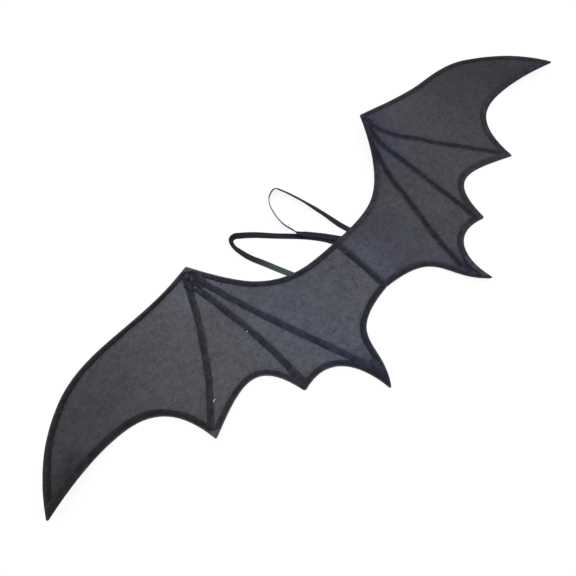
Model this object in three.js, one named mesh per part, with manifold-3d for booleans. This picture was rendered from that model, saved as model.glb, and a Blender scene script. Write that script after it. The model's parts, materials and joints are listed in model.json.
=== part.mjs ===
// Costume bat wings: two halves of dark grey felt joined by a seam down the middle,
// with thick stitched borders and ribs on the face, and two flat elastic arm loops
// sewn to the back. The wings lie face up, and the loops lie spread above the middle.
//
// Units are millimetres. +X runs out along the right wing, +Y to the shoulder spikes
// and +Z up. The shapes are drawn from the top of the middle seam, and the whole is
// then moved so that its origin is at the centre of its underside.

import * as THREE from 'three';
import { mergeVertices } from 'three/addons/utils/BufferGeometryUtils.js';
import Module from 'manifold-3d';

const wasm = await Module();
wasm.setup();

// Driving dimensions
const halfSpan = 450; // middle seam to wing tip
const wingDepth = 284; // shoulder spike to tail tip
const feltThickness = 2;
const stitchHeight = 0.9; // how far the stitched bands stand on the felt
const borderMargin = 1.6; // bare felt outside the stitched border
const borderWidth = 7.5;
const ribWidth = 9;
const seamWidth = 9;
const strapWidth = 8;
const strapThickness = 1;
const strapTuck = 26; // strap hidden under the felt at each sewn end
const clearance = 0.3; // between any two pieces
const liftHeight = 20; // how high the highest spike curls off the surface
const bridgeSlope = 45; // over which the felt comes down beside a sewn strap end

// Fineness of the facets
const curveStep = 11; // length of one straight piece of a curved edge
const gridCell = 16; // cell of the grid that the felt bends on
const strapStep = 5;

// One half's outline, from the top of the middle seam round to its bottom. Each row is
// a corner with the two handles of the curve that comes to it from the row before.
// across is a share of halfSpan, along is a share of wingDepth. The halves were cut by
// hand, so left and right move a corner a little on one half, in the same shares. blunt
// is the length of edge that the corner's rounding takes from each side, as a share of
// halfSpan.
const outlineRows = [
  { corner: 'seamTop', across: 0, along: 0, blunt: 0 },
  {
    corner: 'shoulderSpike', across: 0.354, along: 0.386, blunt: 0.006, right: [0.012, 0.002],
    leave: [0.192, -0.006], arrive: [0.25, 0.055],
  },
  {
    corner: 'wingTip', across: 1, along: -0.079, blunt: 0.012,
    leave: [0.689, 0.26], arrive: [0.845, 0.499],
  },
  {
    corner: 'outerPoint', across: 0.605, along: -0.279, blunt: 0.008, right: [0.006, -0.003],
    leave: [0.798, 0.03], arrive: [0.637, 0.081],
  },
  {
    corner: 'innerPoint', across: 0.366, along: -0.387, blunt: 0.01, right: [0.003, -0.014],
    leave: [0.477, -0.189], arrive: [0.398, -0.123],
  },
  {
    corner: 'tailTip', across: 0.212, along: -0.614, blunt: 0.016, left: [-0.004, -0.014], right: [0.014, -0.006],
    leave: [0.245, -0.328], arrive: [0.209, -0.5],
  },
  {
    corner: 'seamBottom', across: 0, along: -0.313, blunt: 0,
    leave: [0.118, -0.472], arrive: [0.206, -0.345],
  },
];

// The ribs run from the shoulder spike to the points of the lower edge. They were sewn
// by eye, so the two halves differ a little. bow is how far the middle of the rib lies
// outside the straight line, as a share of the rib's length. A rib that is listed later
// stops against the ribs before it.
const ribRows = [
  { half: 'left', rib: 'outer', start: [0.376, 0.349], end: [0.594, -0.226], bow: -0.039 },
  { half: 'left', rib: 'middle', start: [0.384, 0.318], end: [0.353, -0.381], bow: -0.031 },
  { half: 'left', rib: 'inner', start: [0.361, 0.306], end: [0.198, -0.503], bow: 0.01 },
  { half: 'right', rib: 'outer', start: [0.34, 0.34], end: [0.595, -0.236], bow: 0.016 },
  { half: 'right', rib: 'middle', start: [0.34, 0.327], end: [0.352, -0.37], bow: 0.025 },
  { half: 'right', rib: 'inner', start: [0.34, 0.31], end: [0.192, -0.484], bow: -0.014 },
];

// Where the felt curls off the surface that it lies on. reach is a share of wingDepth,
// and rise is a share of liftHeight.
const liftRows = [
  { half: 'left', place: 'spike', across: 0.367, along: 0.405, reach: 0.458, rise: 0.12 },
  { half: 'left', place: 'front edge', across: 0.667, along: 0.352, reach: 0.387, rise: 0.32 },
  { half: 'left', place: 'wing tip', across: 1, along: -0.053, reach: 0.423, rise: 0.72 },
  { half: 'left', place: 'outer point', across: 0.6, along: -0.275, reach: 0.282, rise: 0.18 },
  { half: 'right', place: 'spike', across: 0.367, along: 0.405, reach: 0.458, rise: 1 },
  { half: 'right', place: 'front edge', across: 0.667, along: 0.352, reach: 0.387, rise: 0.16 },
  { half: 'right', place: 'wing tip', across: 1, along: -0.053, reach: 0.423, rise: 0.56 },
  { half: 'right', place: 'tail tip', across: 0.218, along: -0.6, reach: 0.282, rise: 0.17 },
];

// The arm loops, from one sewn end round to the other. lean is the strap's turn about
// its own length in degrees: 0 and 180 lie flat, 90 stands on its edge. The last rows of
// the right loop give the left loop's run, and the right loop lies on top of it there.
// over is how far it lies to the right of that run, as a share of strapWidth.
const strapRows = {
  left: [
    { across: -0.162, along: 0.04, lean: 0 },
    { across: -0.171, along: 0.075, lean: -4 },
    { across: -0.188, along: 0.147, lean: -8 },
    { across: -0.206, along: 0.224, lean: 4 },
    { across: -0.213, along: 0.275, lean: 18 },
    { across: -0.2145, along: 0.313, lean: 38 },
    { across: -0.206, along: 0.343, lean: 48 },
    { across: -0.191, along: 0.346, lean: 40 },
    { across: -0.177, along: 0.331, lean: 26 },
    { across: -0.152, along: 0.298, lean: 16 },
    { across: -0.099, along: 0.209, lean: 2 },
    { across: -0.046, along: 0.119, lean: 0 },
    { across: -0.014, along: 0.051, lean: 0 },
    { across: -0.002, along: 0.016, lean: 0 },
  ],
  right: [
    { across: 0.0615, along: -0.002, lean: 0 },
    { across: 0.0545, along: 0.047, lean: 4 },
    { across: 0.0455, along: 0.158, lean: 24 },
    { across: 0.0335, along: 0.267, lean: 46 },
    { across: 0.0175, along: 0.366, lean: 55 },
    { across: 0.006, along: 0.404, lean: 60 },
    { across: -0.017, along: 0.397, lean: 76 },
    { across: -0.036, along: 0.374, lean: 90 },
    { across: -0.05, along: 0.337, lean: 102 },
    { across: -0.063, along: 0.244, lean: 112 },
    { across: -0.057, along: 0.176, lean: 108 },
    { across: -0.058, along: 0.139, lean: 158, over: 0.45 },
    { across: -0.046, along: 0.119, lean: 178, over: 0.42 },
    { across: -0.027, along: 0.082, lean: 180, over: 0.4 },
    { across: -0.014, along: 0.051, lean: 180, over: 0.5 },
    { across: -0.002, along: 0.016, lean: 180, over: 0.65 },
  ],
};

const halves = { left: -1, right: 1 };

const stitchColour = new THREE.Color(0.024, 0.024, 0.029);
const feltColours = { left: new THREE.Color(0.086, 0.087, 0.097), right: new THREE.Color(0.066, 0.064, 0.076) };
const strapColour = new THREE.Color(0.022, 0.023, 0.031);

// Points in the plane of the wings

function planePoint(across, along) {
  return new THREE.Vector2(across * halfSpan, along * wingDepth);
}

function cornerPoint(row, half) {
  const [moveAcross, moveAlong] = row[half] ?? [0, 0];
  return planePoint(row.across + moveAcross, row.along + moveAlong);
}

function edgeCurves(half) {
  return outlineRows.slice(1).map((row, index) => {
    const before = outlineRows[index];
    return new THREE.CubicBezierCurve(
      cornerPoint(before, half),
      planePoint(...row.leave),
      planePoint(...row.arrive),
      cornerPoint(row, half),
    );
  });
}

// The area on both sides of a curve, from one distance to the right of it to another on
// its left, run on past its ends by a given length.
function bandPoints(curve, right, left, runOn) {
  const steps = Math.max(2, Math.ceil(curve.getLength() / curveStep));
  const rightSide = [];
  const leftSide = [];
  const addPair = (point, tangent) => {
    const toRight = new THREE.Vector2(tangent.y, -tangent.x);
    rightSide.push(point.clone().addScaledVector(toRight, right));
    leftSide.push(point.clone().addScaledVector(toRight, -left));
  };
  for (let step = 0; step <= steps; step += 1) {
    const point = curve.getPointAt(step / steps);
    const tangent = curve.getTangentAt(step / steps);
    if (step === 0 && runOn > 0) {
      addPair(point.clone().addScaledVector(tangent, -runOn), tangent);
    }
    addPair(point, tangent);
    if (step === steps && runOn > 0) {
      addPair(point.clone().addScaledVector(tangent, runOn), tangent);
    }
  }
  return rightSide.concat(leftSide.reverse());
}

function ribCurve(row) {
  const start = planePoint(...row.start);
  const end = planePoint(...row.end);
  const run = end.clone().sub(start);
  const outwards = new THREE.Vector2(-run.y, run.x);
  const middle = start.clone().lerp(end, 0.5).addScaledVector(outwards, 2 * row.bow);
  return new THREE.QuadraticBezierCurve(start, middle, end);
}

// The surface that the felt follows

function smoothFall(share) {
  const inside = Math.max(0, 1 - share * share);
  return inside * inside;
}

function liftAt(x, y) {
  let height = 0;
  for (const row of liftRows) {
    const place = planePoint(row.across, row.along);
    const away = Math.hypot(x - halves[row.half] * place.x, y - place.y);
    height += row.rise * liftHeight * smoothFall(away / (row.reach * wingDepth));
  }
  return height;
}

// The felt bridges each sewn end of a strap, with its facets clear of the strap.
function bridgeAt(x, y) {
  const level = strapWidth / 2 + gridCell * Math.SQRT2;
  let height = 0;
  for (const { from, to, top } of tuckedEnds) {
    const nearest = new THREE.Line3(
      new THREE.Vector3(from.x, from.y, 0),
      new THREE.Vector3(to.x, to.y, 0),
    ).closestPointToPoint(new THREE.Vector3(x, y, 0), true, new THREE.Vector3());
    const beyond = Math.max(0, Math.hypot(x - nearest.x, y - nearest.y) - level);
    height = Math.max(height, (top + clearance) * smoothFall(beyond / bridgeSlope));
  }
  return height;
}

function surfaceHeight(x, y) {
  return Math.max(liftAt(x, y), bridgeAt(x, y));
}

// Solids

function solidOf(geometry) {
  geometry.deleteAttribute('normal');
  geometry.deleteAttribute('uv');
  const merged = mergeVertices(geometry, 1e-4);
  return new wasm.Manifold(new wasm.Mesh({
    numProp: 3,
    vertProperties: new Float32Array(merged.attributes.position.array),
    triVerts: new Uint32Array(merged.index.array),
  }));
}

function geometryOf(solid) {
  const mesh = solid.getMesh();
  const geometry = new THREE.BufferGeometry();
  geometry.setAttribute('position', new THREE.BufferAttribute(mesh.vertProperties, 3));
  geometry.setIndex(new THREE.BufferAttribute(mesh.triVerts, 1));
  geometry.computeVertexNormals();
  return geometry;
}

function union(solids) {
  return solids.reduce((whole, solid) => whole.add(solid));
}

// An upright prism over an outline, taller than the wings. The outlines of a half are
// drawn to the right of the middle seam, and turned over for the left half.
function prism(points, half = 'right') {
  const shape = new THREE.Shape(points.map((point) => new THREE.Vector2(halves[half] * point.x, point.y)));
  const depth = 4 * (liftHeight + feltThickness + stitchHeight);
  const geometry = new THREE.ExtrudeGeometry(shape, { depth, bevelEnabled: false });
  geometry.translate(0, 0, -depth / 2);
  return solidOf(geometry);
}

// A layer that follows the bent surface, between two heights above it.
function layer(low, high) {
  const columns = 2 * Math.ceil(halfSpan / gridCell + 1);
  const rows = 2 * Math.ceil(wingDepth / gridCell);
  const positions = [];
  const triangles = [];
  const stride = rows + 1;
  const levelSize = (columns + 1) * stride;
  for (const offset of [low, high]) {
    for (let column = 0; column <= columns; column += 1) {
      for (let row = 0; row <= rows; row += 1) {
        const x = (column - columns / 2) * gridCell;
        const y = (row - rows / 2) * gridCell;
        positions.push(x, y, surfaceHeight(x, y) + offset);
      }
    }
  }
  const wall = (a, b) => triangles.push(a, b, b + levelSize, a, b + levelSize, a + levelSize);
  for (let column = 0; column < columns; column += 1) {
    for (let row = 0; row < rows; row += 1) {
      const a = column * stride + row;
      const b = a + stride;
      const top = levelSize;
      triangles.push(a, a + 1, b + 1, a, b + 1, b);
      triangles.push(a + top, b + 1 + top, a + 1 + top, a + top, b + top, b + 1 + top);
    }
  }
  for (let column = 0; column < columns; column += 1) {
    wall(column * stride, (column + 1) * stride);
    wall((column + 1) * stride + rows, column * stride + rows);
  }
  for (let row = 0; row < rows; row += 1) {
    wall(row + 1, row);
    wall(columns * stride + row, columns * stride + row + 1);
  }
  const geometry = new THREE.BufferGeometry();
  geometry.setAttribute('position', new THREE.Float32BufferAttribute(positions, 3));
  geometry.setIndex(triangles);
  return solidOf(geometry);
}

// The largest body of a solid, without the offcuts of a trim.
function mainBody(solid) {
  const bodies = solid.decompose();
  return bodies.reduce((largest, body) => (body.volume() > largest.volume() ? body : largest));
}

// Areas of one half, as upright prisms

function wholeHalf(half) {
  const points = [];
  edgeCurves(half).forEach((curve, index) => {
    const length = curve.getLength();
    const from = outlineRows[index].blunt * halfSpan / length;
    const to = 1 - outlineRows[index + 1].blunt * halfSpan / length;
    const steps = Math.ceil(length / curveStep);
    for (let step = 0; step <= steps; step += 1) {
      points.push(curve.getPointAt(THREE.MathUtils.lerp(from, to, step / steps)));
    }
    if (to < 1) {
      points.push(roundedCorner(points[points.length - 1], edgeCurves(half)[index + 1], outlineRows[index + 1]));
    }
  });
  return prism(points, half);
}

// The tip of a blunted corner, between the last point of one edge and the next edge.
function roundedCorner(last, nextCurve, row) {
  const next = nextCurve.getPointAt(row.blunt * halfSpan / nextCurve.getLength());
  return new THREE.QuadraticBezierCurve(last, nextCurve.getPointAt(0), next).getPoint(0.5);
}

function edgeZone(half, depth) {
  return union(edgeCurves(half).map((curve) => prism(bandPoints(curve, depth, borderMargin, depth), half)));
}

function middleZone(width) {
  const corners = [[-1, -1], [1, -1], [1, 1], [-1, 1]];
  return prism(corners.map(([x, y]) => new THREE.Vector2(x * width / 2, y * wingDepth)));
}

function ribZone(row, width) {
  return prism(bandPoints(ribCurve(row), width / 2, width / 2, 0), row.half);
}

// Pieces

function feltPanel(half) {
  return wholeHalf(half).subtract(middleZone(clearance)).intersect(layer(0, feltThickness));
}

function stitchLayer() {
  const low = feltThickness + clearance;
  return layer(low, low + stitchHeight);
}

function borderStitching(half) {
  const inset = wholeHalf(half).subtract(edgeZone(half, borderMargin));
  const band = inset.intersect(edgeZone(half, borderMargin + borderWidth));
  return mainBody(band.subtract(middleZone(seamWidth + 2 * clearance)).intersect(stitchLayer()));
}

function ribStitching(row) {
  const earlier = ribRows.slice(0, ribRows.indexOf(row)).filter((other) => other.half === row.half);
  let rib = ribZone(row, ribWidth).intersect(wholeHalf(row.half));
  rib = rib.subtract(edgeZone(row.half, borderMargin + borderWidth + clearance));
  for (const other of earlier) {
    rib = rib.subtract(ribZone(other, ribWidth + 2 * clearance));
  }
  return mainBody(rib.intersect(stitchLayer()));
}

function seamStitching() {
  const names = Object.keys(halves);
  const whole = union(names.map((half) => wholeHalf(half)));
  const margin = union(names.map((half) => edgeZone(half, borderMargin)));
  return mainBody(whole.subtract(margin).intersect(middleZone(seamWidth)).intersect(stitchLayer()));
}

// Straps

// How high a leaning strap stands.
function strapRise(lean) {
  return strapWidth * Math.abs(Math.sin(lean)) + strapThickness * Math.abs(Math.cos(lean));
}

// The way across the left loop's last run, out of that loop.
function besideDirection() {
  const [start, end] = strapRows.left.slice(-2).map((row) => planePoint(row.across, row.along));
  const run = end.sub(start).normalize();
  return new THREE.Vector2(-run.y, run.x);
}

function strapPoint(row) {
  const shift = (row.over ?? 0) * strapWidth;
  return planePoint(row.across, row.along).addScaledVector(besideDirection(), shift);
}

// How far the underside of a strap lies off the surface.
function strapBase(row) {
  return row.over === undefined ? 0 : strapThickness + clearance;
}

// The sewn ends of a strap, each from the point where it goes under the felt to its end,
// with the height of its top there.
function sewnEnds(rows) {
  const tuck = (row, rowBefore) => {
    const from = strapPoint(row);
    const inwards = from.clone().sub(strapPoint(rowBefore)).normalize();
    return { from, to: from.clone().addScaledVector(inwards, strapTuck), top: strapBase(row) + strapThickness };
  };
  const last = rows.length - 1;
  return [tuck(rows[0], rows[1]), tuck(rows[last], rows[last - 1])];
}

function strapGeometry(rows) {
  const [firstEnd, lastEnd] = sewnEnds(rows);
  const points = [firstEnd.to, ...rows.map(strapPoint), lastEnd.to];
  const stations = [rows[0], ...rows, rows[rows.length - 1]];
  const route = new THREE.CatmullRomCurve3(
    points.map((point) => new THREE.Vector3(point.x, point.y, 0)),
    false,
    'centripetal',
  );
  const steps = Math.ceil(route.getLength() / strapStep);
  const positions = [];
  const triangles = [];
  for (let step = 0; step <= steps; step += 1) {
    const t = route.getUtoTmapping(step / steps);
    const place = route.getPoint(t);
    const tangent = route.getTangent(t);
    const index = Math.min(points.length - 2, Math.floor(t * (points.length - 1)));
    const blend = THREE.MathUtils.smoothstep(t * (points.length - 1) - index, 0, 1);
    const [before, after] = stations.slice(index, index + 2);
    const lean = THREE.MathUtils.degToRad(THREE.MathUtils.lerp(before.lean, after.lean, blend));
    const base = THREE.MathUtils.lerp(strapBase(before), strapBase(after), blend);
    const left = new THREE.Vector3(-tangent.y, tangent.x, 0).normalize();
    const up = new THREE.Vector3(0, 0, 1);
    const wide = left.clone().multiplyScalar(Math.cos(lean)).addScaledVector(up, Math.sin(lean));
    const thick = left.clone().multiplyScalar(-Math.sin(lean)).addScaledVector(up, Math.cos(lean));
    for (const [w, h] of [[-1, -1], [1, -1], [1, 1], [-1, 1]]) {
      const corner = place.clone().addScaledVector(up, base + strapRise(lean) / 2);
      corner.addScaledVector(wide, w * strapWidth / 2).addScaledVector(thick, h * strapThickness / 2);
      positions.push(corner.x, corner.y, corner.z);
    }
  }
  for (let step = 0; step < steps; step += 1) {
    for (let side = 0; side < 4; side += 1) {
      const a = step * 4 + side;
      const b = step * 4 + (side + 1) % 4;
      triangles.push(a, b, b + 4, a, b + 4, a + 4);
    }
  }
  const end = steps * 4;
  triangles.push(0, 2, 1, 0, 3, 2);
  triangles.push(end, end + 1, end + 2, end, end + 2, end + 3);
  const geometry = new THREE.BufferGeometry();
  geometry.setAttribute('position', new THREE.Float32BufferAttribute(positions, 3));
  geometry.setIndex(triangles);
  geometry.computeVertexNormals();
  return geometry;
}

// Assembly

const tuckedEnds = Object.values(strapRows).flatMap(sewnEnds);
const wings = new THREE.Group();

function addPiece(name, geometry, color, roughness) {
  const material = new THREE.MeshStandardMaterial({ color, roughness, metalness: 0 });
  const piece = new THREE.Mesh(geometry, material);
  piece.name = name;
  wings.add(piece);
}

for (const half of Object.keys(halves)) {
  addPiece(`felt_panel_${half}`, geometryOf(feltPanel(half)), feltColours[half], 0.95);
  addPiece(`edge_stitch_${half}`, geometryOf(borderStitching(half)), stitchColour, 0.8);
  addPiece(`arm_strap_${half}`, strapGeometry(strapRows[half]), strapColour, 0.75);
}
for (const row of ribRows) {
  addPiece(`rib_${row.half}_${row.rib}`, geometryOf(ribStitching(row)), stitchColour, 0.8);
}
addPiece('center_seam', geometryOf(seamStitching()), stitchColour, 0.8);

const bounds = new THREE.Box3().setFromObject(wings, true);
const middle = bounds.getCenter(new THREE.Vector3());
wings.position.set(-middle.x, -middle.y, -bounds.min.z);

const part = new THREE.Group();
part.add(wings);

export default part;
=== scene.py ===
# Costume bat wings: the felt, stitching and elastic that are seen, built round the
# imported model. Shapes are worked out in millimetres from the top of the middle seam,
# as the wings were drawn, and go into meshes in metres in the model's own frame.

import json
import math
from collections import namedtuple
from types import SimpleNamespace

import bmesh
import bpy
import numpy as np
from bpy.props import FloatProperty, FloatVectorProperty, PointerProperty
from mathutils import Matrix, Vector, geometry, kdtree, noise


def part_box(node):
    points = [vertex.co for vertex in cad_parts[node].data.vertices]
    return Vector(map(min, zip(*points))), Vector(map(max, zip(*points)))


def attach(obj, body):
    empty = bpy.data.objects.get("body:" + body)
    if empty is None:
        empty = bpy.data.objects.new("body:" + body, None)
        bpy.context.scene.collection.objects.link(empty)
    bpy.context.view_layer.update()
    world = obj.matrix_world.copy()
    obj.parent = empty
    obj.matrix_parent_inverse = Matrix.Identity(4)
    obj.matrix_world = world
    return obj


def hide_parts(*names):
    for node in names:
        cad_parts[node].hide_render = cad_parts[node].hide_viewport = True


bl_info = {
    "name": "Bat Wings",
    "version": (1, 0, 0),
    "blender": (4, 5, 0),
    "location": "View3D > Sidebar > Bat Wings",
    "description": "Felt costume bat wings with stitched ribs and elastic arm loops",
    "category": "Add Mesh",
}

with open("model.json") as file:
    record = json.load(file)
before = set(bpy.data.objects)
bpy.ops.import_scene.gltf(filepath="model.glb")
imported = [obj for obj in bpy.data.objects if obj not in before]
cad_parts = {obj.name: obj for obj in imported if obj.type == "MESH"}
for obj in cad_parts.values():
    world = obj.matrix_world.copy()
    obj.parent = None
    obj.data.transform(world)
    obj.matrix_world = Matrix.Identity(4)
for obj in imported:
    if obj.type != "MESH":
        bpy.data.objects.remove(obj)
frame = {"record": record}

MM = 0.001
SIDES = {"left": -1, "right": 1}
RECORD_COLOURS = {row["slot"]: row["base_color"] for row in frame["record"]["materials"]}

# Sizes of the wings in millimetres, as they were cut
HALF_SPAN = 450.0
WING_DEPTH = 284.0
CLEARANCE = 0.3
LIFT_HEIGHT = 20.0
BRIDGE_SLOPE = 45.0
BRIDGE_LEVEL = 26.6
STRAP_TUCK = 26.0
BORDER_MARGIN = 1.6
SEAM_TOP_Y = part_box("center_seam")[1].y / MM + BORDER_MARGIN

# One half's outline, from the top of the middle seam round to its bottom: each corner's
# place, how blunt it is, and the handles of the curve that comes to it. Places are shares
# of the half span and the wing depth.
Corner = namedtuple("Corner", "across along blunt leave arrive", defaults=[None, None])
OUTLINE = [
    Corner(0, 0, 0),
    Corner(0.354, 0.386, 0.006, (0.192, -0.006), (0.25, 0.055)),
    Corner(1, -0.079, 0.012, (0.689, 0.26), (0.845, 0.499)),
    Corner(0.605, -0.279, 0.008, (0.798, 0.03), (0.637, 0.081)),
    Corner(0.366, -0.387, 0.01, (0.477, -0.189), (0.398, -0.123)),
    Corner(0.212, -0.614, 0.016, (0.245, -0.328), (0.209, -0.5)),
    Corner(0, -0.313, 0, (0.118, -0.472), (0.206, -0.345)),
]

# How far each corner is moved on one half, in the same shares
STILL = (0, 0)
MOVED = {
    "left": [STILL, STILL, STILL, STILL, STILL, (-0.004, -0.014), STILL],
    "right": [STILL, (0.012, 0.002), STILL, (0.006, -0.003), (0.003, -0.014), (0.014, -0.006), STILL],
}

# The bare felt beyond the stitching at each tip, from the spike to the tail, in millimetres
BARE_TIPS = {"left": [8, 9, 10.5, 4, 6], "right": [6, 9, 9, 7, 5]}

# The ribs, from the shoulder spike to the points of the lower edge: the places that each
# goes through, the bow between two of them, and its width in millimetres where that isn't
# the ribs' own
Rib = namedtuple("Rib", "half name places bow width", defaults=[0, None])
RIBS = [
    Rib("left", "outer", [(0.376, 0.349), (0.594, -0.226)], -0.039),
    Rib("left", "middle", [(0.384, 0.318), (0.353, -0.381)], -0.031),
    Rib("left", "inner", [(0.361, 0.306), (0.198, -0.503)], 0.01),
    Rib("right", "outer", [
        (0.363, 0.35), (0.369, 0.287), (0.384, 0.23), (0.408, 0.174), (0.453, 0.1), (0.498, 0),
        (0.547, -0.116), (0.595, -0.236),
    ]),
    Rib("right", "middle", [
        (0.357, 0.335), (0.347, 0.272), (0.342, 0.202), (0.346, 0.14), (0.353, 0.07), (0.358, -0.056),
        (0.356, -0.162), (0.352, -0.37),
    ]),
    Rib("right", "inner", [
        (0.345, 0.322), (0.333, 0.286), (0.319, 0.241), (0.309, 0.197), (0.3, 0.157), (0.286, 0.074),
        (0.26, -0.085), (0.223, -0.282), (0.192, -0.484),
    ]),
]

# Stitches that fill the tails, where the inner ribs run into the borders
TAIL_FILLS = {
    "left": Rib("left", "fill", [(0.192, -0.482), (0.207, -0.6)], 0, 22),
    "right": Rib("right", "fill", [(0.206, -0.47), (0.222, -0.59)], 0, 18),
}

# Where the felt curls up: half, place as shares, reach as a share of the wing depth
# and rise as a share of the lift height
LIFTS = [
    ("left", 0.367, 0.405, 0.458, 0.12),
    ("left", 0.667, 0.352, 0.387, 0.32),
    ("left", 1, -0.053, 0.423, 0.72),
    ("left", 0.6, -0.275, 0.282, 0.18),
    ("right", 0.367, 0.405, 0.458, 1),
    ("right", 0.667, 0.352, 0.387, 0.16),
    ("right", 1, -0.053, 0.423, 0.56),
    ("right", 0.218, -0.6, 0.282, 0.17),
]

# The arm loops from one sewn end round to the other: place as shares, then the turn
# about the strap's own length in degrees. The right loop's last run lies on top of the
# left loop's, and over is how far it lies to the right of it, as a share of its width.
LoopRow = namedtuple("LoopRow", "across along lean over", defaults=[None])


def loop_rows(*rows):
    return [LoopRow(*row) for row in rows]


LOOPS = {
    "left": loop_rows(
        (-0.162, 0.04, 0), (-0.171, 0.075, -4), (-0.188, 0.147, -8), (-0.206, 0.224, 4),
        (-0.213, 0.275, 18), (-0.2145, 0.313, 38), (-0.206, 0.343, 48), (-0.191, 0.346, 40),
        (-0.177, 0.331, 26), (-0.152, 0.298, 16), (-0.099, 0.209, 2), (-0.046, 0.119, 0),
        (-0.014, 0.051, 0), (-0.002, 0.016, 0),
    ),
    "right": loop_rows(
        (0.0615, -0.002, 0), (0.0545, 0.047, 4), (0.0455, 0.158, 23), (0.0335, 0.267, 42),
        (0.0175, 0.366, 46), (0.006, 0.404, 49), (-0.017, 0.397, 63), (-0.036, 0.374, 86),
        (-0.05, 0.337, 98), (-0.063, 0.244, 104), (-0.057, 0.176, 106), (-0.058, 0.139, 158, 0.45),
        (-0.046, 0.119, 178, 0.42), (-0.027, 0.082, 180, 0.4), (-0.014, 0.051, 180, 0.5),
        (-0.002, 0.016, 180, 0.65),
    ),
}

# How many cords run along in the elastic, and where a painted highlight makes it a paler grey, standing in
# for light on a face that tilts towards the lamp: rows as in FELT_PATCHES
CORDS = 9
LIT_ELASTIC_PATCHES = [((-71, 4), (-78, 25), 36, 1.0)]

# How light the felt of each half is, as a share of its dye, and the lightest of any place
FELT_TONES = {"left": 0.95, "right": 0.86}
LIGHTEST_FELT = 1.3
LIGHTEST_THREAD = 2.6

# Painted shade towards the tips, standing in for the light that falls off there: how far out each half starts
# to darken and where it is darkest, in millimetres, and by what share it has darkened there
PAINTED_TIP_SHADE = {"left": (190, 440, 0.5), "right": (200, 410, 0.42)}

# Patches of the felt that are lighter or darker than the rest. Each row is the two ends
# of the patch's middle, its reach from there in millimetres and the change in tone.
FELT_PATCHES = [
    ((-160, 68), (-182, 80), 34, 0.16),
    ((-300, 90), (-300, 70), 60, -0.07),
    ((-440, -22), (-396, 12), 20, -0.4),
    ((-94, -158), (-88, -132), 24, -0.3),
    # A painted highlight: the lighter strip just right of the middle seam, where the felt folds
    ((13, -16), (13, -78), 15, 0.24),
    ((58, -22), (62, -34), 40, -0.1),
    ((150, 66), (168, 92), 38, -0.16),
    ((-22, -22), (-100, 0), 34, -0.09),
    ((130, -60), (136, -52), 30, 0.1),
    ((425, 0), (440, -10), 30, -0.12),
    ((285, 84), (340, 74), 46, -0.07),
    ((104, -156), (96, -132), 26, -0.25),
]

# Where the dye of felt and thread turns bluish: rows as above
BLUISH_PATCHES = [
    ((-110, -50), (-110, -20), 108, 0.85),
    ((-94, -164), (-88, -110), 60, 0.85),
    ((-158, 68), (-176, 84), 52, 0.6),
    ((84, -108), (88, -136), 30, 0.6),
    ((22, -40), (28, -75), 75, 0.62),
    ((150, 62), (166, 92), 60, 0.8),
    ((412, 8), (424, 0), 24, 0.5),
]

# Painted light and shade across a band of stitches, as a share of the thread's own tone: lighter on the side
# towards the light and darker on the other. Given at the first edge, at its darkest, where that is from -1 to
# 1, and at the other edge
Tone = namedtuple("Tone", "first darkest place last")
RIB_PAINTED_SHADING = {"left": Tone(1.9, 1.2, -0.3, 1.9), "right": Tone(2.45, 0.25, 0.1, 2.45)}
SEAM_PAINTED_SHADING = Tone(1.9, 0.85, 0.2, 1.6)

# How much bluer than the felt beside it the thread of a band is
RIB_BLUISH = {"left": 0, "right": 0.4}
SEAM_BLUISH = 0.35

# Each edge's stitches, from the top of the seam round to its bottom: the painted light and shade across it,
# and the band's width at its start and end as a share of the border's
BORDER_ROWS = {
    "left": [
        (Tone(1.4, 0.95, 0.4, 1.3), 1.15, 1.15),
        (Tone(1.3, 0.4, 0.55, 1.0), 0.9, 1.35),
        (Tone(1.1, 0.65, -0.1, 1.6), 1.7, 1),
        (Tone(1.4, 1.2, 0.2, 1.6), 1, 1),
        (Tone(1.5, 1.2, 0.2, 1.6), 1, 1.1),
        (Tone(1.4, 1.0, 0.4, 1.5), 1.25, 1.1),
    ],
    "right": [
        (Tone(1.9, 2.0, 0, 2.4), 1, 1),
        (Tone(1.5, 0.9, 0.2, 1.8), 1, 1.2),
        (Tone(2.0, 1.5, 0.7, 1.8), 1.2, 1.25),
        (Tone(2.2, 1.45, 0.8, 1.7), 1.25, 1.25),
        (Tone(1.9, 1.35, 0.8, 1.6), 1.25, 1.25),
        (Tone(1.0, 1.1, -0.6, 1.9), 1.1, 1.1),
    ],
}

# Places where the stitches are darker or lighter than the rest of their band: rows as
# in FELT_PATCHES
THREAD_PATCHES = [
    ((-105, -128), (-94, -166), 18, -0.3),
    ((-190, 104), (-180, 108), 24, 0.35),
    ((-151, 93), (-146, 84), 16, 0.3),
    ((132, 52), (162, 104), 20, -0.5),
    ((352, 90), (412, 50), 14, -0.3),
    ((344, 2), (316, -4), 14, 0.4),
    ((303, -13), (300, -22), 12, -0.35),
    ((230, -60), (193, -59), 12, 0.45),
    ((139, -108), (122, -112), 12, 0.4),
    ((103, -138), (99, -160), 9, 1.1),
    ((-76, -150), (-72, -138), 10, -0.3),
    ((268, -68), (264, -62), 12, 0.35),
]

# Short creases in the felt beside the middle seam: place, run and depth in millimetres
CREASES = [
    ((-25, -11), (2, -6), 0.5),
    ((-30, -24), (1, -5), 0.35),
    ((-22.9, -52), (-1, -4), 0.55),
    ((-25.5, -61), (-1.5, -6), 0.4),
    ((-41, -38), (-1, -4), 0.4),
    ((-9.5, -33), (-1, -4), 0.35),
]

# Bits of white lint that cling to the felt: place and length in millimetres
LINT = [((-170, 77.5), 2.2), ((-245.5, -45), 4.0), ((-163, -10), 1.5)]


def length(name, description, default):
    return FloatProperty(name=name, description=description, default=default, unit="LENGTH")


def colour(name, description, default):
    return FloatVectorProperty(
        name=name, description=description, default=default, subtype="COLOR", min=0, max=1,
    )


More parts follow.
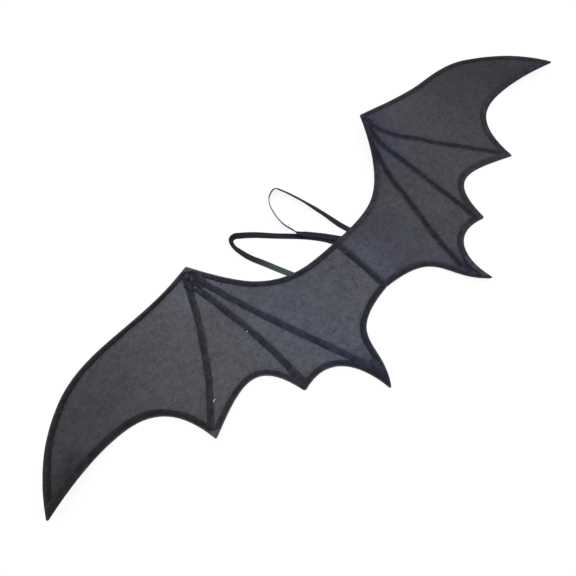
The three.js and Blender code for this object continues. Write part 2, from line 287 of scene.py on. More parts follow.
class WingSizes(bpy.types.PropertyGroup):
    """Sizes of the cloth and thread."""

    felt_thickness: length("Felt thickness", "Thickness of the pressed felt", 0.002)
    border_width: length("Border width", "Width of the stitched border", 0.006)
    rib_width: length("Rib width", "Width of the stitched ribs", 0.009)
    seam_width: length("Seam width", "Width of the stitched band over the middle seam", 0.0096)
    thread_width: length("Thread width", "Thickness of the embroidery thread", 0.00046)
    stitch_step: length("Stitch step", "Way that the machine feeds on for each stitch", 0.00068)
    band_rise: length("Band rise", "Height of the padding under the stitches", 0.0007)
    pull_in: length("Pull in", "How far the stitches draw the felt in", 0.00028)
    waviness: length("Waviness", "Gentle unevenness of the felt as it lies", 0.0007)
    strap_width: length("Elastic width", "Width of the flat elastic", 0.008)
    strap_thickness: length("Elastic thickness", "Thickness of the flat elastic", 0.001)


class WingColours(bpy.types.PropertyGroup):
    """Colours of the cloth and thread."""

    felt_left: colour("Left felt", "Felt of the left half", RECORD_COLOURS["felt_left"])
    felt_right: colour("Right felt", "Felt of the right half", RECORD_COLOURS["felt_right"])
    thread: colour("Thread", "Stitches of the borders, ribs and seam", RECORD_COLOURS["stitching"])
    elastic: colour("Elastic", "Elastic of the arm loops", RECORD_COLOURS["elastic"])
    floor: colour("Floor", "Surface that the wings lie on", (0.12, 0.12, 0.12))


def wing_sizes():
    """The sizes in millimetres."""
    group = bpy.context.scene.wing_sizes
    return SimpleNamespace(**{name: getattr(group, name) / MM for name in WingSizes.__annotations__})


# Lines in the plane of the wings


def unit(run):
    """The direction of one run in the plane, or of many."""
    return run / np.hypot(*run.T)[..., None]


def eased(share):
    """From 0 to 1 with a gentle start and end."""
    share = np.clip(share, 0, 1)
    return share * share * (3 - 2 * share)


class Line:
    """A curve in the plane, measured by the way along it."""

    def __init__(self, points):
        self.points = np.asarray(points, float)
        steps = np.hypot(*np.diff(self.points, axis=0).T)
        self.way = np.concatenate([[0], np.cumsum(steps)])
        self.length = self.way[-1]

    def at(self, way):
        return np.column_stack([np.interp(way, self.way, self.points[:, axis]) for axis in (0, 1)])

    def direction(self, way, stretch=0.4):
        ahead = self.at(np.minimum(way + stretch, self.length))
        return unit(ahead - self.at(np.maximum(way - stretch, 0)))

    def to_right(self, way):
        run = self.direction(way)
        return np.column_stack([run[:, 1], -run[:, 0]])

    def spaced(self, step):
        count = max(2, math.ceil(self.length / step))
        return np.linspace(0, self.length, count + 1)


def bezier(controls, steps=240):
    t = np.linspace(0, 1, steps + 1)[:, None]
    points = [np.asarray(point, float) for point in controls]
    while len(points) > 1:
        points = [a + (b - a) * t for a, b in zip(points, points[1:])]
    return points[0]


def plane_point(across, along):
    return np.array((across * HALF_SPAN, along * WING_DEPTH))


def corner_points(half):
    rows = zip(OUTLINE, MOVED[half])
    return [plane_point(row.across + across, row.along + along) for row, (across, along) in rows]


def edge_lines(half):
    corners = corner_points(half)
    rows = zip(corners, OUTLINE[1:], corners[1:])
    return [Line(bezier([a, plane_point(*row.leave), plane_point(*row.arrive), b])) for a, row, b in rows]


def rib_line(row):
    places = [plane_point(*place) for place in row.places]
    if len(places) > 2:
        return Line(rounded_route(places, np.zeros((len(places), 1)))[0])
    start, end = places
    run = end - start
    middle = (start + end) / 2 + 2 * row.bow * np.array((-run[1], run[0]))
    return Line(bezier([start, middle, end]))


def outline_points(half, step):
    """The cut edge of one half, with its corners a little blunt."""
    points = []
    lines = edge_lines(half)
    blunts = [row.blunt * HALF_SPAN for row in OUTLINE]
    for index, (line, start, blunt) in enumerate(zip(lines, blunts, blunts[1:])):
        end = line.length - blunt
        count = math.ceil((end - start) / step)
        points.extend(line.at(np.linspace(start, end, count + 1)))
        if blunt:
            after = lines[index + 1].at(np.array([blunt]))[0]
            turns = max(4, math.ceil(2 * blunt / step))
            points.extend(bezier([points[-1], line.points[-1], after], turns)[1:-1])
    points = np.array(points)
    points[:, 0] = np.maximum(points[:, 0], CLEARANCE / 2)
    return points


class Near:
    """Distances to a set of points in the plane."""

    def __init__(self, points):
        self.tree = kdtree.KDTree(len(points))
        for index, (x, y) in enumerate(points):
            self.tree.insert((x, y, 0), index)
        self.tree.balance()

    def distance(self, points):
        return np.array([self.tree.find((x, y, 0))[2] for x, y in points])


def inside(points, polygon, batch=4000):
    """Whether points lie in a closed polygon, worked out for a batch of them at a time."""
    result = np.zeros(len(points), bool)
    x0, y0 = polygon.T
    x1, y1 = np.roll(polygon, -1, axis=0).T
    rise = np.where(y1 == y0, 1, y1 - y0)
    for first in range(0, len(points), batch):
        x, y = points[first:first + batch].T[:, :, None]
        crosses = (y0 > y) != (y1 > y)
        result[first:first + batch] = (crosses & (x < x0 + (y - y0) * (x1 - x0) / rise)).sum(1) % 2 == 1
    return result


# The surface that the felt follows


def smooth_fall(share):
    """From 1 at nothing to 0 at a share of 1 and beyond."""
    return np.maximum(0, 1 - share * share) ** 2


def noise_over(x, y, size, layer):
    """Soft noise over points of the plane, in swells of that size."""
    return np.array([noise.noise((a / size, b / size, layer)) for a, b in zip(x, y)])


def lift_at(x, y):
    height = np.zeros(len(x))
    for half, across, along, reach, rise in LIFTS:
        place = plane_point(SIDES[half] * across, along)
        away = np.hypot(x - place[0], y - place[1])
        height += rise * LIFT_HEIGHT * smooth_fall(away / (reach * WING_DEPTH))
    return height


def away_from(x, y, start, end):
    """Distances to the straight run between two points."""
    run = np.subtract(end, start)
    along = np.clip(((x - start[0]) * run[0] + (y - start[1]) * run[1]) / (run @ run), 0, 1)
    return np.hypot(x - start[0] - along * run[0], y - start[1] - along * run[1])


def bridge_at(x, y, sizes):
    """The felt bridges each sewn end of the elastic."""
    height = np.zeros(len(x))
    for start, end, top in (tuck for half in SIDES for tuck in sewn_ends(half, sizes)):
        beyond = np.maximum(0, away_from(x, y, start, end) - BRIDGE_LEVEL)
        height = np.maximum(height, (top + CLEARANCE) * smooth_fall(beyond / BRIDGE_SLOPE))
    return height


def patches(rows, x, y):
    total = np.zeros(len(x))
    for start, end, reach, amount in rows:
        total += amount * smooth_fall(away_from(x, y, start, end) / reach)
    return total


class Felt:
    """Heights and tones of the felt of both halves."""

    # Size and layer of the noise that makes the broad and the small waves
    broad_waves, small_waves = (46, 3.1), (17, 8.2)
    # How far from a band's middle the felt starts to come free of it, and over what way
    free_from, free_over = 4.2, 8
    # Width and bend of a crease, and how dark the painted shade in it is
    crease_width, crease_bend, crease_shade = 0.9, 0.5, 0.6
    # Painted shade beside a band, where the felt sinks by its stitches: how far it reaches, how far it fades
    # over and how dark it is
    shade_reach, shade_fade, shade_depth = 6.5, 2, 0.18

    def __init__(self):
        self.sizes = wing_sizes()
        inset = BORDER_MARGIN + self.sizes.border_width / 2
        middles = []
        for half, sign in SIDES.items():
            for line in edge_lines(half):
                way = line.spaced(0.8)
                middles.append((line.at(way) + line.to_right(way) * inset) * (sign, 1))
            middles += [rib_line(row).points * (sign, 1) for row in RIBS if row.half == half]
        depth = corner_points("left")[-1][1]
        middles.append(np.column_stack([np.zeros(120), np.linspace(0, depth, 120)]))
        self.bands = Near(np.concatenate(middles))

    def underside(self, x, y):
        level = np.maximum(lift_at(x, y), bridge_at(x, y, self.sizes))
        wave = noise_over(x, y, *self.broad_waves) + noise_over(x, y, *self.small_waves) / 3
        return level + self.sizes.waviness * np.clip(wave * 0.5 + 0.35, 0, 1)

    def off_band(self, x, y):
        """How far points are from the middle of the nearest stitched band."""
        return self.bands.distance(np.column_stack([x, y]))

    def creases(self, x, y):
        """For each crease its depth and how much of it there is at each point."""
        for place, run, depth in CREASES:
            length = np.hypot(*run)
            along = ((x - place[0]) * run[0] + (y - place[1]) * run[1]) / length
            aside = ((x - place[0]) * run[1] - (y - place[1]) * run[0]) / length
            bend = self.crease_bend * np.sin(along * 0.7)
            yield depth, np.exp(-((aside - bend) / self.crease_width) ** 2) * smooth_fall(along / length)

    def top(self, x, y):
        drawn = self.sizes.pull_in * (1 - eased((self.off_band(x, y) - self.free_from) / self.free_over))
        creased = sum(depth * share for depth, share in self.creases(x, y))
        return self.underside(x, y) + self.sizes.felt_thickness - drawn - creased

    def tone(self, x, y, half):
        """How light the felt is, as a share of its lightest, with painted shade towards the tips, beside the
        bands and in the creases.
        """
        # Painted shade: the felt darkens towards the tips
        start, end, depth = PAINTED_TIP_SHADE[half]
        darker = depth * eased((np.abs(x) - start) / (end - start))
        # Painted shade beside the bands, where the felt sinks by the stitches
        shade = np.clip((self.shade_reach - self.off_band(x, y)) / self.shade_fade, 0, 1)
        # Painted shade in the creases
        creased = np.minimum(1, sum(share for _, share in self.creases(x, y)))
        tone = (1 + patches(FELT_PATCHES, x, y)) * (1 - darker)
        tone *= (1 - self.shade_depth * shade) * (1 - self.crease_shade * creased)
        return tone * FELT_TONES[half] / LIGHTEST_FELT


# Meshes


def mesh_of(name, vertices, groups, attributes=None, material_index=None):
    """A smooth mesh from millimetre points in the drawing, with its faces turned outwards."""
    mesh = bpy.data.meshes.new(name)
    vertices = (np.asarray(vertices, float) + (0, SEAM_TOP_Y, 0)) * MM
    groups = [np.asarray(group, np.int32) for group in groups if len(group)]
    corners = np.concatenate([group.ravel() for group in groups])
    totals = np.concatenate([np.full(len(group), group.shape[1]) for group in groups])
    mesh.vertices.add(len(vertices))
    mesh.vertices.foreach_set("co", vertices.astype(np.float32).ravel())
    mesh.loops.add(len(corners))
    mesh.loops.foreach_set("vertex_index", corners)
    mesh.polygons.add(len(totals))
    mesh.polygons.foreach_set("loop_start", (np.cumsum(totals) - totals).astype(np.int32))
    mesh.polygons.foreach_set("use_smooth", np.ones(len(totals), bool))
    if material_index is not None:
        mesh.polygons.foreach_set("material_index", np.asarray(material_index, np.int32))
    mesh.update(calc_edges=True)
    mesh.validate()
    for label, values in (attributes or {}).items():
        layer = mesh.attributes.new(label, "FLOAT", "POINT")
        layer.data.foreach_set("value", np.asarray(values, np.float32))
    turned = bmesh.new()
    turned.from_mesh(mesh)
    bmesh.ops.recalc_face_normals(turned, faces=turned.faces)
    turned.to_mesh(mesh)
    turned.free()
    return mesh


def add_piece(name, mesh, materials, nodes=()):
    if name in bpy.data.objects:
        raise RuntimeError(f"{name} is in the scene already")
    piece = bpy.data.objects.new(name, mesh)
    bpy.context.scene.collection.objects.link(piece)
    for material in materials:
        mesh.materials.append(material)
    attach(piece, "root")
    if nodes:
        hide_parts(*nodes)
    return piece


def swept(rings, first=0):
    """Faces of closed sweeps: rings is (sweeps, steps, points round). Returns quads and caps."""
    count, steps, around = rings.shape[:3]
    index = first + np.arange(count * steps * around).reshape(count, steps, around)
    beside = np.roll(index, -1, axis=2)
    quads = np.stack([index[:, :-1], index[:, 1:], beside[:, 1:], beside[:, :-1]], axis=-1)
    caps = np.concatenate([index[:, 0], index[:, -1, ::-1]])
    return quads.reshape(-1, 4), caps


def tube_rings(paths, radius, sides):
    """Rings of points round many paths, shaped (paths, points, 3)."""
    run = np.gradient(paths, axis=1)
    run /= np.linalg.norm(run, axis=2, keepdims=True)
    aside = np.cross(run, (0, 0, 1.0))
    aside /= np.maximum(np.linalg.norm(aside, axis=2, keepdims=True), 1e-6)
    above = np.cross(aside, run)
    turn = np.linspace(0, 2 * math.pi, sides, endpoint=False)
    round_it = aside[:, :, None] * np.cos(turn)[:, None] + above[:, :, None] * np.sin(turn)[:, None]
    return paths[:, :, None] + round_it * np.reshape(radius, (-1, 1, 1, 1))


# Stitched bands


def clipped(starts, ends, allowed, samples=21):
    """Stitches cut back to where they are allowed, and which of them are left."""
    shares = np.linspace(0, 1, samples)
    points = starts[:, None] + (ends - starts)[:, None] * shares[None, :, None]
    good = allowed(points.reshape(-1, 2)).reshape(len(starts), samples)
    first = good.argmax(1)
    last = samples - 1 - good[:, ::-1].argmax(1)
    kept = good.any(1) & (last - first >= 3)
    rows = np.arange(len(starts))
    return points[rows, first], points[rows, last], kept


def runs_of(kept):
    """The stretches of stitches that follow each other."""
    where = np.flatnonzero(kept)
    if not len(where):
        return []
    return [run for run in np.split(where, np.flatnonzero(np.diff(where) > 1) + 1) if len(run) > 2]


# Painted light and shade across a band, from -1 at its first edge to 1 at its other
def tone_across(tone, share):
    return np.interp(share, [-1, tone.place, 1], [tone.first, tone.darkest, tone.last])


def measured(starts, ends):
    """How wide stitches are, and the direction of each."""
    reach = ends - starts
    width = np.hypot(*reach.T)[:, None]
    return width, reach / np.maximum(width, 0.01)


class Band:
    """Gathers the padding and the threads of one piece of stitching."""

    thread_sides = 5
    thread_places, pad_places = np.linspace(-1, 1, 7), np.linspace(-1, 1, 9)
    # The share of a stitch that is padded, and how far the padding sinks into it and the felt
    pad_share, pad_sink, pad_foot = 0.93, 0.02, 0.25
    # Bands narrower than this in millimetres are flatter
    full_width = 5
    # How far a stitch leans along the band, and how deep its ends go into the felt
    slant, end_dip = 0.42, 0.3

    def __init__(self, felt, seed, bluish=0, wander=0.7):
        self.felt = felt
        self.sizes = felt.sizes
        self.random = np.random.default_rng(seed)
        self.bluish = bluish
        self.wander = wander
        self.vertices, self.quads, self.caps, self.tones = [], [], [], []
        self.total = 0

    def store(self, rings, padding, tone):
        quads, caps = swept(rings, self.total)
        self.tones.append(np.broadcast_to(tone, rings.shape[:3]).ravel())
        self.vertices.append(rings.reshape(-1, 3))
        self.total += len(self.vertices[-1])
        self.quads.append((quads, padding))
        self.caps.append((caps, padding))

    def height(self, share, width):
        """Height of the padding under a stitch, from -1 to 1 across a band of that width."""
        full = np.minimum(1, width / self.full_width)
        return self.sizes.band_rise * full * np.maximum(0, 1 - np.abs(share) ** 3)

    def sew(self, starts, ends, kept, tone, raised=None):
        """Sews over the kept stitches. raised gives extra height at points of the plane."""
        for run in runs_of(kept):
            first, last = self.wavy(starts[run], ends[run])
            self.pad(first, last, tone, raised)
            self.zigzag(first, last, tone, raised)

    def wavy(self, starts, ends):
        """Stitches whose two ends wander in slow waves, as the cloth was led by hand."""
        width, across = measured(starts, ends)
        most = width * 0.2
        moved = []
        for points in (starts, ends):
            row = self.random.uniform(0, 99)
            slow = np.array([noise.noise((stitch * 0.035, row, 4.4)) for stitch in range(len(starts))])
            quick = np.array([noise.noise((stitch * 0.12, row, 9.1)) for stitch in range(len(starts))])
            waves = self.wander * (slow + 0.4 * quick)
            moved.append(points + across * np.clip(waves[:, None], -most, most))
        return moved

    def ground(self, flat, raised):
        """Height of the felt, and of any band that is crossed, at rows of points."""
        points = flat.reshape(-1, 2)
        height = self.felt.top(*points.T)
        if raised is not None:
            height = height + raised(points)
        return height.reshape(flat.shape[:2])

    def pad(self, starts, ends, tone, raised):
        share = self.pad_places * self.pad_share
        reach = (ends - starts) / 2
        width = np.hypot(*reach.T)[:, None] * 2
        flat = ((starts + ends) / 2)[:, None] + reach[:, None] * share[:, None]
        ground = self.ground(flat, raised)
        top = ground + self.height(share / self.pad_share, width) - self.pad_sink
        foot = np.dstack([flat[:, [-1, 0]], ground[:, [-1, 0]] - self.pad_foot])
        rows = np.concatenate([np.dstack([flat, top]), foot], axis=1)
        self.store(rows[None], 1, tone_across(tone, np.concatenate([share, [1, -1]])))

    def zigzag(self, starts, ends, tone, raised):
        count, random, share = len(starts), self.random, self.thread_places
        width, across = measured(starts, ends)
        starts = starts + across * random.normal(0, 0.2, (count, 1))
        ends = ends + across * random.normal(0, 0.2, (count, 1))
        along = np.gradient((starts + ends) / 2, axis=0)
        slant = self.slant * np.where(np.arange(count) % 2, 1, -1)[:, None]
        starts = starts - along * slant + random.normal(0, 0.05, (count, 2))
        ends = ends + along * slant + random.normal(0, 0.05, (count, 2))
        flat = (starts + ends)[:, None] / 2 + (ends - starts)[:, None] / 2 * share[:, None]
        thread = self.sizes.thread_width
        dip = np.where(np.abs(share) > 0.99, -self.end_dip, 0.42 * thread)
        high = self.ground(flat, raised) + self.height(share, width) + dip
        high = high + random.uniform(-0.04, 0.06, (count, 1))
        radius = thread / 2 * random.uniform(0.88, 1.12, count)
        rings = tube_rings(np.dstack([flat, high]), radius, self.thread_sides)
        self.store(rings, 0, tone_across(tone, share)[:, None])

    def loose(self, paths, width, tone=1.0):
        """Single threads that lie on top, as paths of points with heights over the felt."""
        x, y, high = paths.reshape(-1, 3).T
        paths = np.column_stack([x, y, self.felt.top(x, y) + high]).reshape(paths.shape)
        self.store(tube_rings(paths, np.full(len(paths), width / 2), self.thread_sides), 0, tone)

    def mesh(self, name):
        vertices = np.concatenate(self.vertices)
        sorts = [self.quads]
        for around in sorted({faces.shape[1] for faces, _ in self.caps}):
            sorts.append([(faces, kind) for faces, kind in self.caps if faces.shape[1] == around])
        groups = [np.concatenate([faces for faces, _ in sort]) for sort in sorts]
        padding = np.concatenate([np.full(len(faces), kind) for sort in sorts for faces, kind in sort])
        x, y = vertices[:, 0], vertices[:, 1]
        # The thread's tone: the painted light and shade across each band, with its lighter and darker patches
        tone = np.concatenate(self.tones) / LIGHTEST_THREAD * (1 + patches(THREAD_PATCHES, x, y))
        attributes = {
            "tone": np.clip(tone, 0, 1),
            "bluish": np.clip(self.bluish + patches(BLUISH_PATCHES, x, y), 0, 1),
        }
        return mesh_of(name, vertices, groups, attributes, padding)

    def finish(self, name, nodes=()):
        """Makes the piece, in the thread and the padding that all the stitching shares."""
        made = [bpy.data.materials.get(label) for label in ("embroidery_thread", "stitch_padding")]
        if None in made:
            thread = bpy.context.scene.wing_colours.thread
            made = [thread_material(thread), padding_material(thread)]
        add_piece(name, self.mesh(name), made, nodes)


class Cut:
    """The cut edge of one half, which its stitching keeps inside."""

    # How far along the edges from a tip its direction is taken
    tip_reach = 20.0

    def __init__(self, half):
        self.lines = edge_lines(half)
        self.polygon = outline_points(half, 2)
        self.edge = Near(np.concatenate([line.at(line.spaced(0.5)) for line in self.lines]))
        self.tips = []
        for index, (corner, bare) in enumerate(zip(corner_points(half)[1:-1], BARE_TIPS[half])):
            before, after = self.lines[index:index + 2]
            back = before.at(np.array([before.length - self.tip_reach]))[0] - corner
            ahead = after.at(np.array([self.tip_reach]))[0] - corner
            self.tips.append((corner, unit(unit(back) + unit(ahead)), bare))

    def within(self, points, margin):
        """Whether points lie inside the edge by more than a margin."""
        return inside(points, self.polygon) & (self.edge.distance(points) > margin)

    def off_tips(self, points):
        """Whether points are clear of the bare felt at the tips."""
        good = np.ones(len(points), bool)
        for corner, inwards, bare in self.tips:
            from_corner = points - corner
            good &= (from_corner @ inwards > bare) | (np.hypot(*from_corner.T) > 2 * bare + 10)
        return good


def over_band(points, reach, height):
    """Extra height where one band crosses over another that is nearer than reach."""
    near = Near(points)
    return lambda places: height * eased((reach + 1.5 - near.distance(places)) / 2.5)


def stitches_over(line, width, step):
    """The two ends of each stitch across a line."""
    way = line.spaced(step)
    aside = line.to_right(way) * width / 2
    return line.at(way) - aside, line.at(way) + aside


def sew_border(band, half):
    sizes, sign, cut = band.sizes, SIDES[half], Cut(half)
    seam_side = sizes.seam_width / 2 + CLEARANCE

    def allowed(points):
        good = cut.within(points, BORDER_MARGIN - 0.25) & (points[:, 0] > seam_side)
        return good & cut.off_tips(points)

    raised = None
    for index, (line, (tone, first, last)) in enumerate(zip(cut.lines, BORDER_ROWS[half])):
        way = line.spaced(sizes.stitch_step)
        inwards = line.to_right(way)
        reach = BORDER_MARGIN + sizes.border_width * np.linspace(first, last, len(way))
        starts, ends = line.at(way) + inwards * BORDER_MARGIN, line.at(way) + inwards * reach[:, None]
        starts, ends, kept = clipped(starts, ends, allowed)
        if index:
            raised = over_band(cut.lines[index - 1].points * (sign, 1), reach[0], 0.4)
        band.sew(starts * (sign, 1), ends * (sign, 1), kept, tone, raised)


def sew_rib(band, row, earlier):
    """Sews along a rib or a fill, clear of the earlier ribs of its half."""
    sizes, sign, cut = band.sizes, SIDES[row.half], Cut(row.half)
    border = BORDER_MARGIN + sizes.border_width
    nears = [Near(rib_line(other).points) for other in earlier if other.half == row.half]

    def allowed(points):
        good = cut.within(points, border - 3.5)
        for near in nears:
            good &= near.distance(points) > sizes.rib_width / 2 - 1.2
        return good & cut.off_tips(points)

    starts, ends = stitches_over(rib_line(row), row.width or sizes.rib_width, sizes.stitch_step)
    starts, ends, kept = clipped(starts, ends, allowed)
    raised = over_band(np.concatenate([line.points for line in cut.lines]) * (sign, 1), border, 0.45)
    band.sew(starts * (sign, 1), ends * (sign, 1), kept, RIB_PAINTED_SHADING[row.half], raised)


def sew_seam(band):
    line = Line([(0, -BORDER_MARGIN), (0, corner_points("left")[-1][1] + BORDER_MARGIN)])
    starts, ends = stitches_over(line, band.sizes.seam_width, band.sizes.stitch_step)
    band.sew(starts, ends, np.ones(len(starts), bool), SEAM_PAINTED_SHADING)


def knot_stitches(band, half, centre, reach, count):
    """The tangle of stitches where the ribs meet in the shoulder spike."""
    random = band.random
    places = random.normal(0, reach / 2, (count * 3, 2)) + centre
    places = places[Cut(half).within(places, 5)][:count]
    turn = random.uniform(0, math.pi, len(places))
    long = random.uniform(3.5, 8, len(places))
    run = np.column_stack([np.cos(turn), np.sin(turn)]) * long[:, None] / 2
    aside = np.column_stack([-run[:, 1], run[:, 0]]) * random.uniform(-0.5, 0.5, (len(places), 1))
    share = np.linspace(-1, 1, 9)
    flat = places[:, None] + run[:, None] * share[:, None]
    flat = (flat + aside[:, None] * (1 - share * share)[:, None]) * (SIDES[half], 1)
    high = 0.95 + random.uniform(0.1, 0.8, (len(places), 1)) - 1.4 * np.abs(share) ** 4
    tone = random.choice([0.4, 0.7, 2.5], (len(places), 1, 1))
    band.loose(np.dstack([flat, high]), band.sizes.thread_width * 1.9, tone)


# Elastic


def loop_points(half, sizes):
    """The places of a loop's rows, those on the other loop's strap moved beside it."""
    start, end = (plane_point(row.across, row.along) for row in LOOPS["left"][-2:])
    run = unit(end - start)
    beside = np.array((-run[1], run[0])) * sizes.strap_width
    return [plane_point(row.across, row.along) + beside * (row.over or 0) for row in LOOPS[half]]


def elastic_base(row, sizes):
    """How far the underside of the elastic lies off the surface."""
    return 0 if row.over is None else sizes.strap_thickness + CLEARANCE


def sewn_ends(half, sizes):
    """The points where the elastic goes under the felt and where it ends, and its top there."""
    points, rows = loop_points(half, sizes), LOOPS[half]
    tucks = []
    for row, edge, before in ((rows[0], points[0], points[1]), (rows[-1], points[-1], points[-2])):
        top = elastic_base(row, sizes) + sizes.strap_thickness
        tucks.append((edge, edge + unit(edge - before) * STRAP_TUCK, top))
    return tucks


def rounded_route(points, values, steps=40):
    """A smooth curve through the points, with values that ease from one to the next."""
    points = [2 * points[0] - points[1], *points, 2 * points[-1] - points[-2]]
    places, eased = [], []
    for index in range(1, len(points) - 2):
        a, b, c, d = points[index - 1:index + 3]
        before, between, after = (math.sqrt(np.hypot(*(q - p))) for p, q in ((a, b), (b, c), (c, d)))
        leave = between * ((b - a) / before - (c - a) / (before + between) + (c - b) / between)
        arrive = between * ((c - b) / between - (d - b) / (between + after) + (d - c) / after)
        t = np.linspace(0, 1, steps, endpoint=False)[:, None]
        cubic = 2 * b - 2 * c + leave + arrive
        square = -3 * b + 3 * c - 2 * leave - arrive
        places.append(b + t * leave + t * t * square + t ** 3 * cubic)
        eased.append(values[index - 1] + (values[index] - values[index - 1]) * (3 * t ** 2 - 2 * t ** 3))
    places.append(points[-2][None])
    eased.append(values[-1][None])
    return np.concatenate(places), np.concatenate(eased)


def elastic_mesh(name, half, sizes):
    """The flat elastic, with cords that run along it and a rounded edge."""
    width, thickness = sizes.strap_width, sizes.strap_thickness
    (_, first, _), (_, last, _) = sewn_ends(half, sizes)
    rows = LOOPS[half]
    lie = np.array([(row.lean, elastic_base(row, sizes)) for row in [rows[0], *rows, rows[-1]]])
    places, lie = rounded_route([first, *loop_points(half, sizes), last], lie)
    line = Line(places)
    way = line.spaced(1.0)
    turn = np.radians(np.interp(way, line.way, lie[:, 0]))[:, None]
    base = np.interp(way, line.way, lie[:, 1])[:, None]
    run = line.direction(way)
    left = np.column_stack([-run[:, 1], run[:, 0], np.zeros(len(way))])
    up = np.array((0, 0, 1.0))
    wide = left * np.cos(turn) + up * np.sin(turn)
    thick = up * np.cos(turn) - left * np.sin(turn)
    rise = width * np.abs(np.sin(turn)) + thickness * np.abs(np.cos(turn))
    centre = np.column_stack([line.at(way), base + rise / 2])
    share = np.linspace(-1, 1, 37)
    rounded = 1 - np.abs(share) ** 8
    groove_depth, thinnest = 0.09, 0.12
    grooves = groove_depth * (0.5 - 0.5 * np.cos(share * math.pi * CORDS)) * rounded
    half_thick = np.maximum(thickness / 2 * rounded ** 0.5 - grooves, thinnest)
    u = np.concatenate([share, share[::-1]]) * width / 2
    v = np.concatenate([half_thick, -half_thick[::-1]])
    nip_depth, nip_step = 0.012, 2.4
    nip = 1 - nip_depth * (0.5 - 0.5 * np.cos(way * 2 * math.pi / nip_step))
    ring = centre[:, None] + wide[:, None] * (u[None, :] * nip[:, None])[:, :, None]
    ring = ring + thick[:, None] * v[None, :, None]
    quads, caps = swept(ring[None])
    vertices = ring.reshape(-1, 3)
    attributes = {
        "along": np.repeat(way, len(u)),
        "across": np.tile(u, len(way)),
        "painted_light": patches(LIT_ELASTIC_PATCHES, vertices[:, 0], vertices[:, 1]),
    }
    return mesh_of(name, vertices, [quads, caps], attributes)


# Felt sheets


def inset_ring(polygon, inset):
    run = unit(polygon - np.roll(polygon, 1, axis=0)) + unit(np.roll(polygon, -1, axis=0) - polygon)
    run /= np.maximum(np.hypot(*run.T), 0.3)[:, None]
    return polygon + np.column_stack([run[:, 1], -run[:, 0]]) * inset


def felt_net(half, polygon, inner, random, step=3.0):
    """Loose points inside a ring, a net of triangles over them and the ring's place in it."""
    low, high = polygon.min(0), polygon.max(0)
    rows = np.arange(low[1], high[1], step * math.sqrt(0.75))
    columns = np.arange(low[0], high[0], step)
    grid = np.array([(x + step / 2 * (index % 2), y) for index, y in enumerate(rows) for x in columns])
    for (x, y), run, _ in CREASES if half == "left" else ():
        fine = np.array([(a, b) for a in np.arange(-12, 12, 0.9) for b in np.arange(-3, 3, 0.7)])
        run = unit(np.array(run)) * (-1, 1)
        grid = np.concatenate([grid, (-x, y) + fine[:, :1] * run + fine[:, 1:] * (-run[1], run[0])])
    grid = grid + random.uniform(-0.25, 0.25, grid.shape)
    grid = grid[inside(grid, inner)]
    grid = grid[Near(np.concatenate([inner, (inner + np.roll(inner, 1, axis=0)) / 2])).distance(grid) > 1.3]
    count = len(inner)
    given = [Vector(point) for point in np.concatenate([inner, grid])]
    edges = [(index, (index + 1) % count) for index in range(count)]
    net = geometry.delaunay_2d_cdt(given, edges, [], 1, 1e-6)
    placed = {source: index for index, sources in enumerate(net[3]) for source in sources}
    triangles = np.array([face for face in net[2] if len(face) == 3])
    border = np.array([placed[index] for index in range(count)])
    return np.array([tuple(point) for point in net[0]]), triangles, border


def felt_mesh(name, half, felt, random):
    """A felt half with a soft cut edge: two skins over one net of triangles, and the edge."""
    polygon = outline_points(half, 1.8)
    ragged = noise_over(*polygon.T, 2.3, 1.7)
    polygon = inset_ring(polygon, (0.17 + 0.14 * ragged)[:, None])
    # Rings of the cut edge: how far inside it and how high in the felt's thickness
    levels = [(0.85, 1.0), (0.42, 0.96), (0.1, 0.8), (0.0, 0.5), (0.1, 0.2), (0.42, 0.04), (0.85, 0.0)]
    rings = [inset_ring(polygon, inset) for inset, _ in levels]
    flat, triangles, border = felt_net(half, polygon, rings[0], random)

    def skin(points, share):
        x, y = points[:, 0] * SIDES[half], points[:, 1]
        under = felt.underside(x, y)
        return np.column_stack([x, y, under + (felt.top(x, y) - under) * share])

    edge_rings = [skin(ring, share) for ring, (_, share) in zip(rings[1:-1], levels[1:-1])]
    vertices = np.concatenate([skin(flat, 1.0), skin(flat, 0.0), *edge_rings])
    total, count = len(flat), len(border)
    chain = [border]
    chain += [2 * total + level * count + np.arange(count) for level in range(len(edge_rings))]
    chain.append(border + total)
    quads = [np.column_stack([a, np.roll(a, -1), np.roll(b, -1), b]) for a, b in zip(chain, chain[1:])]
    groups = [triangles, triangles[:, ::-1] + total, np.concatenate(quads)]
    x, y = vertices[:, 0], vertices[:, 1]
    attributes = {"tone": felt.tone(x, y, half), "bluish": np.clip(patches(BLUISH_PATCHES, x, y), 0, 1)}
    return mesh_of(name, vertices, groups, attributes)


# Materials


class Value:
    """A shader output, with arithmetic that adds the Math nodes it needs."""

    def __init__(self, shader, socket):
        self.shader = shader
        self.socket = socket

    def maths(self, operation, *values):
        return self.shader.value("ShaderNodeMath", {"operation": operation}, dict(enumerate(values)))

    def __add__(self, other):
        return self.maths("ADD", self, other)

    def __sub__(self, other):
        return self.maths("SUBTRACT", self, other)

    def __rsub__(self, other):
        return self.maths("SUBTRACT", other, self)

    def __mul__(self, other):
        return self.maths("MULTIPLY", self, other)

    __radd__ = __add__
    __rmul__ = __mul__

    def clamped(self):
        return self.maths("MAXIMUM", self.maths("MINIMUM", self, 1), 0)

    def sine(self):
        return self.maths("SINE", self)

    def swing(self, amount):
        """Noise about a half, made to swing about nothing by an amount."""
        return (self - 0.5) * amount


